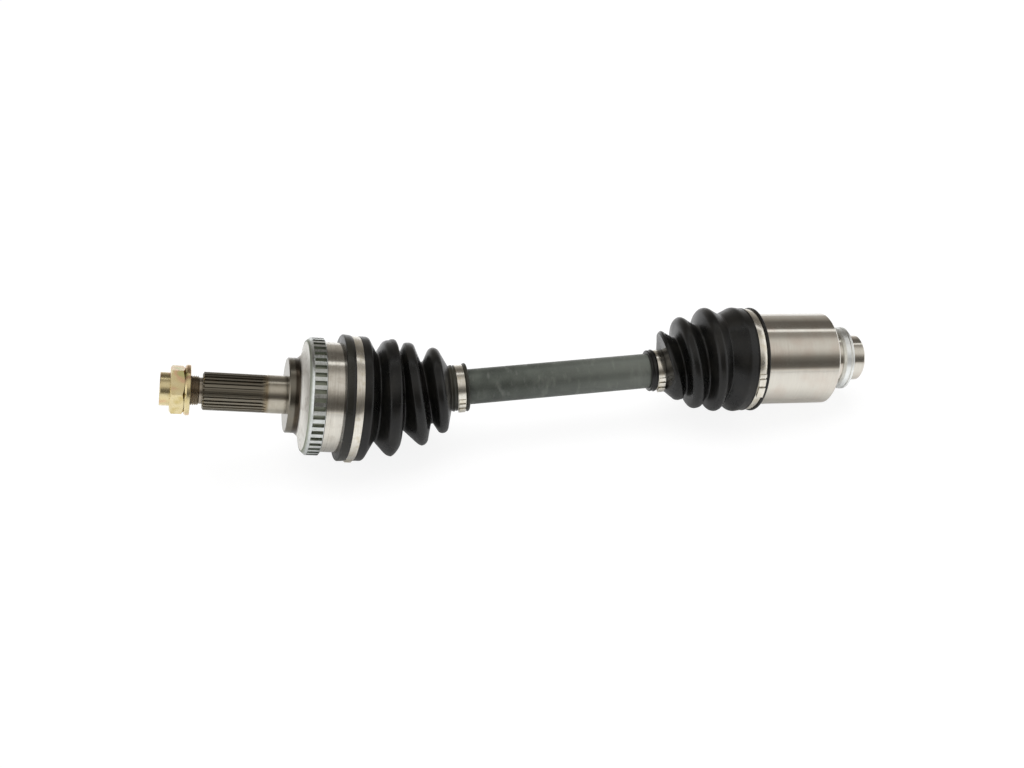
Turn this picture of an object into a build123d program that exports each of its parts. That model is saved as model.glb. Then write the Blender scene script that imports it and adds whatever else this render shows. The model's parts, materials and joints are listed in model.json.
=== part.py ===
from build123d import *
import os
from math import asin, cos, degrees, pi, radians, sin, sqrt

# Constant-velocity drive axle for a front-wheel-drive car: a ball joint at the hub end,
# a solid bar shaft and a sliding tripod joint at the gearbox end, each under a rubber boot.
# Millimetres and degrees. X runs from the hub end to the gearbox end, Z is up, and the
# origin is the centre of the bearing face of the outer joint. The axle lies at rest with
# both joints slightly bent in the XZ plane.

# ---------------------------------------------------------------- layout
joint_span = 350.0            # outer joint centre to inner joint centre, along the shaft
hub_face_setback = 44.0       # bearing face to outer joint centre
outer_bend = 10.0             # stub axis to shaft axis, at rest
inner_bend = 4.9              # shaft axis to cup axis, at rest
shaft_dip = 1.45              # shaft axis below horizontal, as the axle lies
outer_reach = 40.0            # largest true bend of the outer joint

# ---------------------------------------------------------------- fits and clearances
running_fit = 0.05            # radial, between turned pieces that move on each other
spline_fit = 0.04             # all round, between mating splines
seat_fit = 0.02               # radial, between a pressed or clamped piece and its seat
face_gap = 0.1                # axial, between a stack of pieces on a shaft
rubber_fit = 0.15             # radial, between a boot end and the metal it grips
edge_break = 0.4              # chamfer on turned edges
cut_over = 1.0                # how far a cutter runs past the face it leaves

# ---------------------------------------------------------------- stub and bell
shank_step = 0.25             # plain shank above the spline crests
shank_length = 13.5
spline_d = 28.0
spline_depth = 1.3
spline_teeth = 28
spline_length = 46.7          # with its run-out
spline_runout = 5.5
spline_lead = 1.0             # chamfer at the start of the teeth
spline_lead_drop = 0.2        # how far that chamfer runs below the roots
tooth_crest = 0.44            # width of a tooth at its crest, as a share of the spacing
tooth_foot = 0.68             # and at its root
relief_step = 1.3             # thread relief below the thread crests
relief_length = 2.8
relief_lead = 0.5
thread_d = 22.0
thread_pitch = 1.5
thread_depth = 0.92
thread_length = 25.5
shoulder_d = 56.0
shoulder_length = 7.2
shoulder_chamfer = 0.8
flare_length = 5.9
flare_bow = (0.62, 0.3)       # a point of the flare's curve: shares of its length and of its height
bell_wall = 3.38              # outside the ball grooves
bell_mouth = 12.0             # joint centre to the open end
bell_floor = 26.0             # joint centre to the closed end of the cavity
bell_lead = 1.2               # chamfers at the open end
mouth_flare = 2.6             # widening of the cavity at the open end
tool_mark = 0.8               # width of the shallow groove turned beside the speed ring
tool_mark_depth = 0.4
tool_mark_offset = 3.0
boot_groove_depth = 0.9       # in the bell, under the large band

# ---------------------------------------------------------------- speed ring
ring_seat_step = 0.6          # seat below the bell
ring_thickness = 3.4
ring_width = 12.5
ring_nose = 0.8               # thickness at the hub side of the bevel
ring_bevel = 2.5
ring_teeth = 44
ring_slot_depth = 2.3
ring_slot_share = 0.52        # slot width as a share of the tooth spacing
ring_rim = 0.7                # rims each side of the slots

# ---------------------------------------------------------------- hub nut
nut_flats = 32.0
nut_height = 10.3
nut_chamfer = 1.5
nut_clocking = 36.0
nut_facing = 0.3              # end face of the hexagon inside its flats
collar_wall = 1.15            # stake collar outside the thread
collar_length = 7.1
washer_overhang = 2.5         # outside the nut flats
washer_bore_fit = 0.3
washer_height = 3.9
washer_cone = 1.2
nut_stand_off = 8.7           # washer face to the start of the spline

# ---------------------------------------------------------------- ball joint inside
ball_d = 17.46
ball_count = 6
ball_circle_r = 28.3
cage_wall = 5.6
cage_offset = 0.1             # cage middle inside the ball circle
cage_rim = 2.22               # each side of the windows
cage_web = 8.0
race_width = 21.0
window_corner = 2.5
groove_margin = 2.0           # degrees that a groove runs on behind the last place of a ball
groove_mouth = 60.0           # degrees from the middle of a groove to beyond the open end

# ---------------------------------------------------------------- shaft
shaft_d = 27.0
shaft_step = 2.0              # bar above the spline crests
shaft_spline_depth = 0.9
shaft_spline_teeth = 26
clip_width = 1.4
clip_height = 2.4
clip_depth = 0.9              # how deep a clip sits in its groove
clip_opening = 40.0           # degrees left open in a clip
shaft_end_stub = 1.7
shaft_chamfer = 1.0
shaft_step_back = 4.0         # spider clip to the end of the full bar
shaft_taper = 2.0             # length over which the bar steps down there
clip_slack = 0.05             # axial, each side of a clip in its groove
grip_groove_depth = 0.5       # in the shaft, under the small bands

# ---------------------------------------------------------------- tripod joint inside
trunnion_count = 3
roller_d = 31.0
roller_width = 12.0
roller_circle_r = 21.5
trunnion_d = 17.0
needle_d = 2.0
needle_count = 27
needle_length = 10.0
retainer_thickness = 1.0
trunnion_tip = 1.0
trunnion_clip_depth = 0.7     # groove below the trunnion
trunnion_clip_height = 1.2    # clip above the trunnion
trunnion_clip_width = 0.9
boss_step = 0.6               # trunnion root inside the roller bore
retainer_step = 0.2           # retainer rim inside the roller bore
spider_chamfer = 1.0
hub_gap = 0.3                 # roller inner face to the spider hub
spider_width = 23.0
track_side_gap = 0.5
track_roof_gap = 3.7

# ---------------------------------------------------------------- cup and socket
cup_wall = 2.055              # outside the corners of the tracks
cup_mouth = 38.0              # joint centre to the open end
cup_end = 31.0                # joint centre to the closed end
cup_floor = 4.4               # thickness of the closed end
cup_bore_r = 25.2
cup_flare_length = 12.0
cup_flare = 5.3
cup_chamfer = 1.2
neck_d = 43.0
neck_fillet = 3.0
neck_length = 9.6             # cup end to the dust ring
dust_ring_thickness = 2.7
dust_ring_bevel = 1.6
dust_ring_width = 7.8
dust_ring_lip = 2.4
dust_ring_lip_rise = 0.6
nose_wall = 4.0               # outside the pilot bore
socket_nose_length = 12.9
socket_chamfer = 1.3
socket_spline_d = 26.0
socket_spline_depth = 1.2
socket_spline_teeth = 26
socket_web = 5.7              # metal between the cup cavity and the socket
pilot_step = 0.8              # pilot bore outside the socket teeth
pilot_depth = 5.0
pilot_chamfer = 1.0

# ---------------------------------------------------------------- boots and clamps
boot_wall = 2.5
band_width = 6.4
band_thickness = 0.8
band_sink = 0.3               # how far a band stands below the rubber lips beside it
outer_collar_wall = 5.55      # rubber outside the bell
outer_band_setback = 3.8      # large band back from the mouth of the bell
outer_collar_lip = 6.8        # beside the band, towards the hub
outer_collar_shoulder = 5.3   # beside the band, towards the folds
outer_sleeve_wall = 3.95      # rubber outside the bar
outer_small_band_start = 83.9     # from the outer joint centre
outer_sleeve_shoulder = 4.9
outer_sleeve_lip = 2.8
inner_sleeve_wall = 2.4
inner_small_band_back = 109.2     # from the inner joint centre
inner_sleeve_lip = 5.2
inner_sleeve_shoulder = 2.6
inner_collar_wall = 4.5       # rubber outside the cup
inner_band_overhang = 0.2     # large band past the mouth of the cup
inner_collar_shoulder = 11.8
inner_collar_lip = 2.4
lip_round = 1.6
# folds between the straight ends: share of the way along the boot, and height above a plain cone
outer_folds = [(0.125, -8.84), (0.31, 6.88), (0.455, -2.97),
               (0.605, 10.63), (0.745, -1.97), (0.865, 11.44)]
inner_folds = [(0.10, 7.89), (0.225, -1.0), (0.385, 9.91),
               (0.54, -1.77), (0.70, 6.93), (0.865, -5.28)]
# between two folds: share of the way, and share of the height
fold_flank = [(0.0, 0.0), (0.16, 0.05), (0.34, 0.25), (0.66, 0.75), (0.84, 0.95)]
inner_boot_rise = 1.6         # how far the inner boot bulges above the line between its ends
band_margin = 0.1             # between a band and each wall of its groove
buckle_height = 2.0
buckle_edge = 0.5             # buckle narrower than its band, each side
outer_large_buckle = (236.0, 13.0)     # clock angle of the middle, and angle that it spans
outer_small_buckle = (204.0, 38.0)
inner_small_buckle = (200.0, 44.0)
inner_large_buckle = (178.0, 24.0)

# ---------------------------------------------------------------- worked out
outer_tilt = shaft_dip + outer_bend
inner_tilt = shaft_dip + inner_bend
shank_r = spline_d / 2 + shank_step
ball_r = ball_d / 2
roller_r = roller_d / 2
shaft_r = shaft_d / 2
shaft_spline_r = shaft_r - shaft_step
shaft_core_r = shaft_spline_r - shaft_spline_depth
clip_seat_r = shaft_spline_r - clip_depth
thread_r = thread_d / 2
spline_r = spline_d / 2
# a ball leaves the middle of its groove a little when the joint is bent
ball_drift = ball_circle_r * sin(radians(30)) * cos(radians(30)) * (1 - cos(radians(outer_reach / 2)))
ball_groove_r = ball_r + ball_drift + running_fit
bell_r = ball_circle_r + ball_groove_r + bell_wall
ring_seat_r = bell_r - ring_seat_step
ring_r = ring_seat_r + ring_thickness
cage_width = ball_d + 2 * (running_fit + cage_rim)
cage_outer_r = ball_circle_r + cage_wall / 2 - cage_offset
cage_inner_r = cage_outer_r - cage_wall
bell_bore_r = cage_outer_r + running_fit
race_r = cage_inner_r - running_fit
shank_start = -hub_face_setback - shank_length
spline_start = shank_start - spline_length
thread_start = spline_start - relief_length
stub_end = thread_start - thread_length
shoulder_end = -hub_face_setback + shoulder_length
ring_start = shoulder_end + flare_length
ring_end = ring_start + ring_width
washer_face = spline_start - nut_stand_off
nut_face = washer_face - washer_height
nut_end = nut_face - nut_height
washer_r = nut_flats / 2 + washer_overhang
race_clip_x = -race_width / 2 - face_gap - clip_width
spider_clip_near = joint_span - spider_width / 2 - face_gap - clip_width
spider_clip_far = joint_span + spider_width / 2 + face_gap
trunnion_r = trunnion_d / 2
roller_bore_r = trunnion_r + needle_d + 2 * running_fit
roller_inner = roller_circle_r - roller_width / 2
roller_outer = roller_circle_r + roller_width / 2
spider_hub_r = roller_inner - hub_gap
retainer_x = roller_circle_r + needle_length / 2 + face_gap
trunnion_clip_x = retainer_x + retainer_thickness + face_gap
trunnion_clip_r = trunnion_r - trunnion_clip_depth
track_r = roller_r + track_side_gap
track_roof = roller_outer + track_roof_gap
track_roof_half = sqrt(track_r ** 2 - (track_roof - roller_circle_r) ** 2)
cup_r = sqrt(track_roof ** 2 + track_roof_half ** 2) + cup_wall
neck_r = neck_d / 2
neck_end = cup_end + neck_length
nose_start = neck_end + dust_ring_width
socket_end = nose_start + socket_nose_length
socket_bottom = cup_end - cup_floor + socket_web
socket_r = socket_spline_d / 2
pilot_r = socket_r + pilot_step
nose_r = pilot_r + nose_wall

outer_collar_r = bell_r + rubber_fit + outer_collar_wall
outer_band_start = bell_mouth - outer_band_setback - band_width
outer_sleeve_r = shaft_r + rubber_fit + outer_sleeve_wall
outer_sleeve_start = outer_small_band_start - outer_sleeve_shoulder
inner_sleeve_r = shaft_r + rubber_fit + inner_sleeve_wall
inner_small_band_start = joint_span - inner_small_band_back
inner_sleeve_end = inner_small_band_start + band_width + inner_sleeve_shoulder
inner_collar_r = cup_r + rubber_fit + inner_collar_wall
inner_band_start = -cup_mouth - inner_band_overhang

stub_direction = Vector(cos(radians(outer_tilt)), 0, -sin(radians(outer_tilt)))
shaft_direction = Vector(cos(radians(shaft_dip)), 0, -sin(radians(shaft_dip)))
outer_centre = stub_direction * hub_face_setback
inner_centre = outer_centre + shaft_direction * joint_span
stub_frame = Pos(outer_centre) * Rot(0, outer_tilt, 0)
cage_frame = Pos(outer_centre) * Rot(0, shaft_dip + outer_bend / 2, 0)
shaft_frame = Pos(outer_centre) * Rot(0, shaft_dip, 0)
spider_frame = Pos(inner_centre) * Rot(0, shaft_dip, 0)
cup_frame = Pos(inner_centre) * Rot(0, inner_tilt, 0)


# ---------------------------------------------------------------- shared shapes
def turned(start, *steps):
    """Solid turned about X. A step is a point (x, r), or a pair (through, end) for an arc."""
    edges = []
    here = start
    for step in steps:
        if isinstance(step[0], tuple):
            through, end = step
            edges.append(ThreePointArc(here, through, end))
        else:
            end = step
            edges.append(Line(here, end))
        here = end
    if here != start:
        edges.append(Line(here, start))
    return revolve(make_face(edges), axis=Axis.X)


def sleeve(x0, x1, inner_r, outer_r):
    """Plain tube along X."""
    return turned((x0, inner_r), (x0, outer_r), (x1, outer_r), (x1, inner_r))


def splined_bar(x0, x1, major_r, depth, teeth, slack=0.0):
    """Toothed bar along X; slack widens it all round for the hole that takes it."""
    step = 2 * pi / teeth
    crest = tooth_crest / 2 * step + slack / major_r
    foot = tooth_foot / 2 * step + slack / major_r
    root_r = major_r - depth
    points = []
    for k in range(teeth):
        for reach, turn in ((root_r, -foot), (major_r, -crest), (major_r, crest), (root_r, foot)):
            angle = k * step + turn
            points.append(((reach + slack) * cos(angle), (reach + slack) * sin(angle)))
    face = Plane.YZ * make_face(Polyline(*points, close=True))
    return Pos(x0, 0, 0) * extrude(face, amount=x1 - x0)


def arc_block(x0, x1, inner_r, outer_r, middle, span):
    """Part of a tube along X, centred on a clock angle measured from +Y towards +Z."""
    face = make_face(Polyline((x0, inner_r), (x0, outer_r), (x1, outer_r), (x1, inner_r), close=True))
    block = revolve(face, axis=Axis.X, revolution_arc=span)
    return Rot(middle - span / 2, 0, 0) * block


def around(count, shape, first=0.0):
    """Copies of a shape turned evenly about X."""
    return [Rot(first + 360.0 * k / count, 0, 0) * shape for k in range(count)]


# ---------------------------------------------------------------- outer joint
def ball_groove(front, back):
    """Path swept by a ball in the plane of X and Z, from behind the centre to the mouth."""
    section = Plane.YZ * Pos(0, ball_circle_r, 0) * Circle(ball_groove_r)
    path = revolve(Rot(0, -back, 0) * section, axis=Axis.Y, revolution_arc=back + front)
    back_end = Rot(0, -back, 0) * Pos(0, 0, ball_circle_r) * Sphere(ball_groove_r)
    return path + back_end


def thread_ridges(x0, x1):
    """Crests and roots of the thread, as rings."""
    root_r = thread_r - thread_depth
    ridges = [(x0, root_r)]
    for k in range(int((x1 - x0) / thread_pitch)):
        x = x0 + k * thread_pitch
        ridges += [(x + 0.25 * thread_pitch, root_r), (x + 0.75 * thread_pitch, thread_r)]
    return ridges + [(x1, root_r)]


def make_outer_joint_housing():
    root_r = spline_r - spline_depth
    shoulder_r = shoulder_d / 2
    relief_r = thread_r - relief_step
    bow_x, bow_r = flare_bow
    bow = (shoulder_end + bow_x * flare_length, shoulder_r + bow_r * (ring_seat_r - shoulder_r))
    mark_x = ring_end + tool_mark_offset
    mark_r = bell_r - tool_mark_depth
    groove_end = outer_band_start + band_width
    groove_r = bell_r - boot_groove_depth
    body = turned(
        (stub_end, 0), *thread_ridges(stub_end, thread_start),
        (thread_start + relief_lead, relief_r), (spline_start, relief_r),
        (spline_start, root_r), (shank_start - spline_runout, root_r), (shank_start, shank_r),
        (-hub_face_setback, shank_r),
        (-hub_face_setback, shoulder_r - shoulder_chamfer),
        (-hub_face_setback + shoulder_chamfer, shoulder_r),
        (shoulder_end, shoulder_r), (bow, (ring_start, ring_seat_r)),
        (ring_end, ring_seat_r), (ring_end, bell_r),
        (mark_x, bell_r), (mark_x, mark_r), (mark_x + tool_mark, mark_r), (mark_x + tool_mark, bell_r),
        (outer_band_start, bell_r), (outer_band_start, groove_r),
        (groove_end, groove_r), (groove_end, bell_r),
        (bell_mouth - bell_lead, bell_r), (bell_mouth, bell_r - bell_lead), (bell_mouth, 0))
    teeth = splined_bar(spline_start, shank_start, spline_r, spline_depth, spline_teeth)
    body += teeth & turned((spline_start, 0), (spline_start, root_r - spline_lead_drop),
                           (spline_start + spline_lead, spline_r), (shank_start, spline_r),
                           (shank_start, 0))
    floor_r = sqrt(bell_bore_r ** 2 - bell_floor ** 2)
    flare_x = bell_mouth - mouth_flare
    flare_r = sqrt(bell_bore_r ** 2 - flare_x ** 2)
    cavity = turned((-bell_floor, 0), (-bell_floor, floor_r), ((0, bell_bore_r), (flare_x, flare_r)),
                    (bell_mouth, flare_r + mouth_flare), (bell_mouth + cut_over, flare_r + mouth_flare),
                    (bell_mouth + cut_over, 0))
    body -= cavity
    for groove in around(ball_count, ball_groove(groove_mouth, outer_reach / 2 + groove_margin)):
        body -= groove
    return stub_frame * body


def make_abs_tone_ring():
    inner_r = ring_seat_r + seat_fit
    bevel_end = ring_start + ring_bevel
    ring = turned((ring_start, inner_r), (ring_start, inner_r + ring_nose),
                  (bevel_end, ring_r - edge_break), (bevel_end + edge_break, ring_r),
                  (ring_end - edge_break, ring_r), (ring_end, ring_r - edge_break),
                  (ring_end, inner_r))
    slot_x0 = bevel_end + ring_rim
    slot_x1 = ring_end - ring_rim
    slot_width = ring_slot_share * 2 * pi * ring_r / ring_teeth
    slot = Box(slot_x1 - slot_x0, slot_width, 2 * ring_slot_depth)
    slot = Pos((slot_x0 + slot_x1) / 2, 0, ring_r) * slot
    for cut in around(ring_teeth, slot):
        ring -= cut
    return stub_frame * ring


def make_hub_nut_washer():
    hole_r = thread_r + washer_bore_fit
    return stub_frame * turned((nut_face, hole_r), (nut_face, washer_r - washer_cone),
                               (nut_face + washer_cone, washer_r), (washer_face - edge_break, washer_r),
                               (washer_face, washer_r - edge_break), (washer_face, hole_r))


def make_hub_nut():
    x0 = nut_end
    x1 = nut_face - face_gap
    bore_r = thread_r + running_fit
    corner_r = nut_flats / sqrt(3)
    hexagon = Plane.YZ * RegularPolygon(corner_r, 6)
    prism = Rot(nut_clocking, 0, 0) * Pos(x0, 0, 0) * extrude(hexagon, amount=x1 - x0)
    facing_r = nut_flats / 2 - nut_facing
    blank = turned((x0, 0), (x0, facing_r), (x0 + nut_chamfer, corner_r),
                   (x1 - nut_chamfer, corner_r), (x1, facing_r), (x1, 0))
    collar_r = thread_r + collar_wall
    end = x0 - collar_length
    collar = turned((end, 0), (end, collar_r - edge_break), (end + edge_break, collar_r),
                    (x1, collar_r), (x1, 0))
    hole = turned((end - cut_over, 0), (end - cut_over, bore_r),
                  (x1 + cut_over, bore_r), (x1 + cut_over, 0))
    return stub_frame * ((prism & blank) + collar - hole)


def make_outer_cage():
    half = cage_width / 2
    outer_edge = sqrt(cage_outer_r ** 2 - half ** 2)
    inner_edge = sqrt(cage_inner_r ** 2 - half ** 2)
    shell = turned((-half, inner_edge), (-half, outer_edge), ((0, cage_outer_r), (half, outer_edge)),
                   (half, inner_edge), ((0, cage_inner_r), (-half, inner_edge)))
    window_length = 2 * pi * ball_circle_r / ball_count - cage_web
    window = RectangleRounded(ball_d + 2 * running_fit, window_length, window_corner)
    for cut in around(ball_count, extrude(window, amount=cage_outer_r + cut_over)):
        shell -= cut
    return cage_frame * shell


def make_outer_balls():
    ball = Pos(0, 0, ball_circle_r) * Sphere(ball_r)
    return cage_frame * Compound(children=around(ball_count, ball))


def shaft_spline_hole(half):
    """Splined hole through a piece that reaches the same way each side of its middle."""
    return splined_bar(-half - cut_over, half + cut_over, shaft_spline_r, shaft_spline_depth,
                       shaft_spline_teeth, spline_fit)


def make_outer_inner_race():
    half = race_width / 2
    edge = sqrt(race_r ** 2 - half ** 2)
    race = turned((-half, 0), (-half, edge), ((0, race_r), (half, edge)), (half, 0))
    groove = Rot(90, 0, 0) * Torus(ball_circle_r, ball_groove_r)
    for cut in around(ball_count // 2, groove):
        race -= cut
    return shaft_frame * (race - shaft_spline_hole(half))


def shaft_clip(x0, middle):
    """Spring clip in its groove at one end of the bar's splines."""
    return shaft_frame * arc_block(x0, x0 + clip_width, clip_seat_r + seat_fit, clip_seat_r + clip_height,
                                   middle, 360.0 - clip_opening)


def make_race_circlip():
    return shaft_clip(race_clip_x, 90.0)


# ---------------------------------------------------------------- shaft
def make_axle_shaft():
    start = race_clip_x - shaft_end_stub
    end = spider_clip_far + clip_width + shaft_end_stub
    shoulder = race_width / 2 + face_gap
    step_down = spider_clip_near - shaft_step_back
    taper_end = step_down + shaft_taper
    groove_r = shaft_r - grip_groove_depth
    grips = []
    for x0 in (outer_small_band_start, inner_small_band_start):
        x1 = x0 + band_width
        grips += [(x0, shaft_r), (x0 + grip_groove_depth, groove_r),
                  (x1 - grip_groove_depth, groove_r), (x1, shaft_r)]
    bar = turned((start, 0), (start, shaft_core_r), (shoulder, shaft_core_r), (shoulder, shaft_r), *grips,
                 (step_down, shaft_r), (taper_end, shaft_core_r), (end, shaft_core_r), (end, 0))
    lead_r = shaft_spline_r - shaft_chamfer
    for x0, x1 in ((start, shoulder), (step_down + shaft_taper / 2, end)):
        teeth = splined_bar(x0, x1, shaft_spline_r, shaft_spline_depth, shaft_spline_teeth)
        bar += teeth & turned((x0, 0), (x0, lead_r), (x0 + shaft_chamfer, shaft_spline_r),
                              (x1 - shaft_chamfer, shaft_spline_r), (x1, lead_r), (x1, 0))
    for x in (race_clip_x, spider_clip_near, spider_clip_far):
        bar -= sleeve(x - clip_slack, x + clip_width + clip_slack, clip_seat_r, shaft_r)
    return shaft_frame * bar


# ---------------------------------------------------------------- tripod joint
def on_trunnions(shape):
    """Copies of a shape built along X, moved onto the three trunnions."""
    return [spider_frame * copy for copy in around(trunnion_count, Rot(0, -90, 0) * shape)]


def make_tripod_spider():
    half = spider_width / 2
    rim_r = spider_hub_r - spider_chamfer
    hub = turned((-half, 0), (-half, rim_r), (spider_chamfer - half, spider_hub_r),
                 (half - spider_chamfer, spider_hub_r), (half, rim_r), (half, 0))
    boss_end = roller_circle_r - needle_length / 2 - face_gap
    boss_r = roller_bore_r - boss_step
    groove_start = trunnion_clip_x - clip_slack
    groove_end = trunnion_clip_x + trunnion_clip_width + clip_slack
    tip = trunnion_clip_x + trunnion_clip_width + trunnion_tip
    trunnion = turned((0, 0), (0, boss_r), (boss_end, boss_r), (boss_end, trunnion_r),
                      (groove_start, trunnion_r), (groove_start, trunnion_clip_r),
                      (groove_end, trunnion_clip_r), (groove_end, trunnion_r),
                      (tip - edge_break, trunnion_r), (tip, trunnion_r - edge_break), (tip, 0))
    for arm in around(trunnion_count, Rot(0, -90, 0) * trunnion):
        hub += arm
    return spider_frame * (hub - shaft_spline_hole(half))


def make_rollers():
    edge_r = sqrt(roller_r ** 2 - (roller_width / 2) ** 2)
    roller = turned((roller_inner, roller_bore_r), (roller_inner, edge_r),
                    ((roller_circle_r, roller_r), (roller_outer, edge_r)), (roller_outer, roller_bore_r))
    return on_trunnions(roller)


def make_needle_rollers():
    path_r = trunnion_r + needle_d / 2 + running_fit
    x0 = roller_circle_r - needle_length / 2
    needle = turned((0, 0), (0, needle_d / 2), (needle_length, needle_d / 2), (needle_length, 0))
    needle = Pos(x0, 0, path_r) * needle
    needles = []
    for placed in around(needle_count, needle):
        needles += on_trunnions(placed)
    return Compound(children=needles)


def make_needle_retainers():
    washer = sleeve(retainer_x, retainer_x + retainer_thickness, trunnion_r + running_fit,
                    roller_bore_r - retainer_step)
    return Compound(children=on_trunnions(washer))


def make_trunnion_circlips():
    clip = arc_block(trunnion_clip_x, trunnion_clip_x + trunnion_clip_width, trunnion_clip_r + seat_fit,
                     trunnion_r + trunnion_clip_height, 0, 360.0 - clip_opening)
    return Compound(children=on_trunnions(clip))


def make_spider_snap_rings():
    return Compound(children=[shaft_clip(x, 270.0) for x in (spider_clip_near, spider_clip_far)])


def make_inner_joint_housing():
    floor = cup_end - cup_floor
    fillet_x = cup_end + neck_fillet
    fillet_r = neck_r + neck_fillet
    slack = neck_fillet * (1 - cos(radians(45)))
    body = turned(
        (-cup_mouth, 0), (-cup_mouth, cup_r - cup_chamfer), (cup_chamfer - cup_mouth, cup_r),
        (cup_end - cup_chamfer, cup_r), (cup_end, cup_r - cup_chamfer), (cup_end, fillet_r),
        ((cup_end + slack, neck_r + slack), (fillet_x, neck_r)),
        (nose_start, neck_r), (nose_start, nose_r), (socket_end - socket_chamfer, nose_r),
        (socket_end, nose_r - socket_chamfer), (socket_end, 0))
    mouth_cut = -cup_mouth - cut_over
    mouth_r = cup_bore_r + cup_flare
    body -= turned((floor, 0), (floor, cup_bore_r), (cup_flare_length - cup_mouth, cup_bore_r),
                   (-cup_mouth, mouth_r), (mouth_cut, mouth_r), (mouth_cut, 0))
    section = Pos(0, roller_circle_r) * Circle(track_r)
    section &= Pos(0, track_roof / 2) * Rectangle(2 * track_r, track_roof)
    track = Pos(floor, 0, 0) * extrude(Plane.YZ * section, amount=mouth_cut - floor)
    for cut in around(trunnion_count, track):
        body -= cut
    body -= splined_bar(socket_bottom, socket_end + cut_over, socket_r, socket_spline_depth,
                        socket_spline_teeth)
    pilot_start = socket_end - pilot_depth
    lead_r = pilot_r + pilot_chamfer
    body -= turned((pilot_start, 0), (pilot_start, pilot_r), (socket_end - pilot_chamfer, pilot_r),
                   (socket_end, lead_r), (socket_end + cut_over, lead_r), (socket_end + cut_over, 0))
    return cup_frame * body


def make_inner_dust_ring():
    lip = nose_start - dust_ring_lip
    outer_r = neck_r + dust_ring_thickness
    lip_r = outer_r + dust_ring_lip_rise
    inner_r = neck_r + seat_fit
    return cup_frame * turned((neck_end, inner_r), (neck_end, outer_r - dust_ring_bevel),
                              (neck_end + dust_ring_bevel, outer_r), (lip, outer_r),
                              (lip + edge_break, lip_r), (nose_start - edge_break, lip_r),
                              (nose_start, lip_r - edge_break), (nose_start, inner_r))


# ---------------------------------------------------------------- boots
def boot_line(start, start_tilt, end, end_tilt, rise=0.0):
    """Middle line of a bent boot: a point and a tilt for each share of the way along it."""
    reach = (end - start).length
    run0 = Vector(cos(radians(start_tilt)), 0, -sin(radians(start_tilt))) * reach
    run1 = Vector(cos(radians(end_tilt)), 0, -sin(radians(end_tilt))) * reach

    def at(t):
        point = (start * (1 - 3 * t ** 2 + 2 * t ** 3) + run0 * (t - 2 * t ** 2 + t ** 3)
                 + end * (3 * t ** 2 - 2 * t ** 3) + run1 * (t ** 3 - t ** 2))
        return point + Vector(0, 0, rise * sin(pi * t) ** 2)

    def tilt(t):
        if t in (0, 1):
            return end_tilt if t else start_tilt
        step = at(t + 0.001) - at(t - 0.001)
        return -degrees(asin(step.Z / step.length))

    return at, tilt


def bellows(line, folds, start_r, end_r):
    """Closed solid through the folds: round crests and valleys joined by straight flanks."""
    at, tilt = line
    stations = [(0.0, start_r)] + folds + [(1.0, end_r)]
    rings = []
    for (t0, r0), (t1, r1) in zip(stations, stations[1:]):
        rings += [(t0 + share * (t1 - t0), r0 + height * (r1 - r0)) for share, height in fold_flank]
    rings.append(stations[-1])
    sections = [Pos(at(t)) * Rot(0, 90 + tilt(t), 0) * Circle(r) for t, r in rings]
    return loft(sections, ruled=True)


def boot_bellows(line, folds, start, end):
    """Hollow bellows; start and end are (outer radius, inner radius)."""
    outer_folds_r = [(t, start[0] + t * (end[0] - start[0]) + height) for t, height in folds]
    inner_folds_r = [(t, r - boot_wall) for t, r in outer_folds_r]
    return bellows(line, outer_folds_r, start[0], end[0]) - bellows(line, inner_folds_r, start[1], end[1])


def end_ring(band_x, before, after, inner_r, outer_r, free_end):
    """Straight end of a boot with the groove for its band, and rubber before and after the band."""
    x0 = band_x - before
    x1 = band_x + band_width + after
    left = lip_round if free_end == "start" else 0.0
    right = lip_round if free_end == "end" else 0.0
    band_r = band_seat(outer_r)
    outline = [(x0, inner_r), (x0, outer_r - left), (x0 + left, outer_r),
               (band_x, outer_r), (band_x, band_r),
               (band_x + band_width, band_r), (band_x + band_width, outer_r),
               (x1 - right, outer_r), (x1, outer_r - right), (x1, inner_r)]
    points = [point for k, point in enumerate(outline) if k == 0 or point != outline[k - 1]]
    return turned(*points)


def band_seat(collar_r):
    """Radius of the rubber under a band."""
    return collar_r - band_sink - band_thickness


def make_outer_boot():
    grip_r = bell_r + rubber_fit
    bar_r = shaft_r + rubber_fit
    collar_end = outer_band_start + band_width + outer_collar_shoulder
    collar = stub_frame * end_ring(outer_band_start, outer_collar_lip, outer_collar_shoulder,
                                   grip_r, outer_collar_r, "start")
    neck = shaft_frame * end_ring(outer_small_band_start, outer_sleeve_shoulder, outer_sleeve_lip,
                                  bar_r, outer_sleeve_r, "end")
    start = (stub_frame * Pos(collar_end, 0, 0)).position
    end = (shaft_frame * Pos(outer_sleeve_start, 0, 0)).position
    line = boot_line(start, outer_tilt, end, shaft_dip)
    folds = boot_bellows(line, outer_folds, (outer_collar_r, grip_r), (outer_sleeve_r, bar_r))
    return collar + folds + neck


def make_inner_boot():
    grip_r = cup_r + rubber_fit
    bar_r = shaft_r + rubber_fit
    neck = shaft_frame * end_ring(inner_small_band_start, inner_sleeve_lip, inner_sleeve_shoulder,
                                  bar_r, inner_sleeve_r, "start")
    collar = cup_frame * end_ring(inner_band_start, inner_collar_shoulder, inner_collar_lip,
                                  grip_r, inner_collar_r, "end")
    start = (shaft_frame * Pos(inner_sleeve_end, 0, 0)).position
    end = (cup_frame * Pos(inner_band_start - inner_collar_shoulder, 0, 0)).position
    line = boot_line(start, shaft_dip, end, inner_tilt, inner_boot_rise)
    folds = boot_bellows(line, inner_folds, (inner_sleeve_r, bar_r), (inner_collar_r, grip_r))
    return neck + folds + collar


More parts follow.
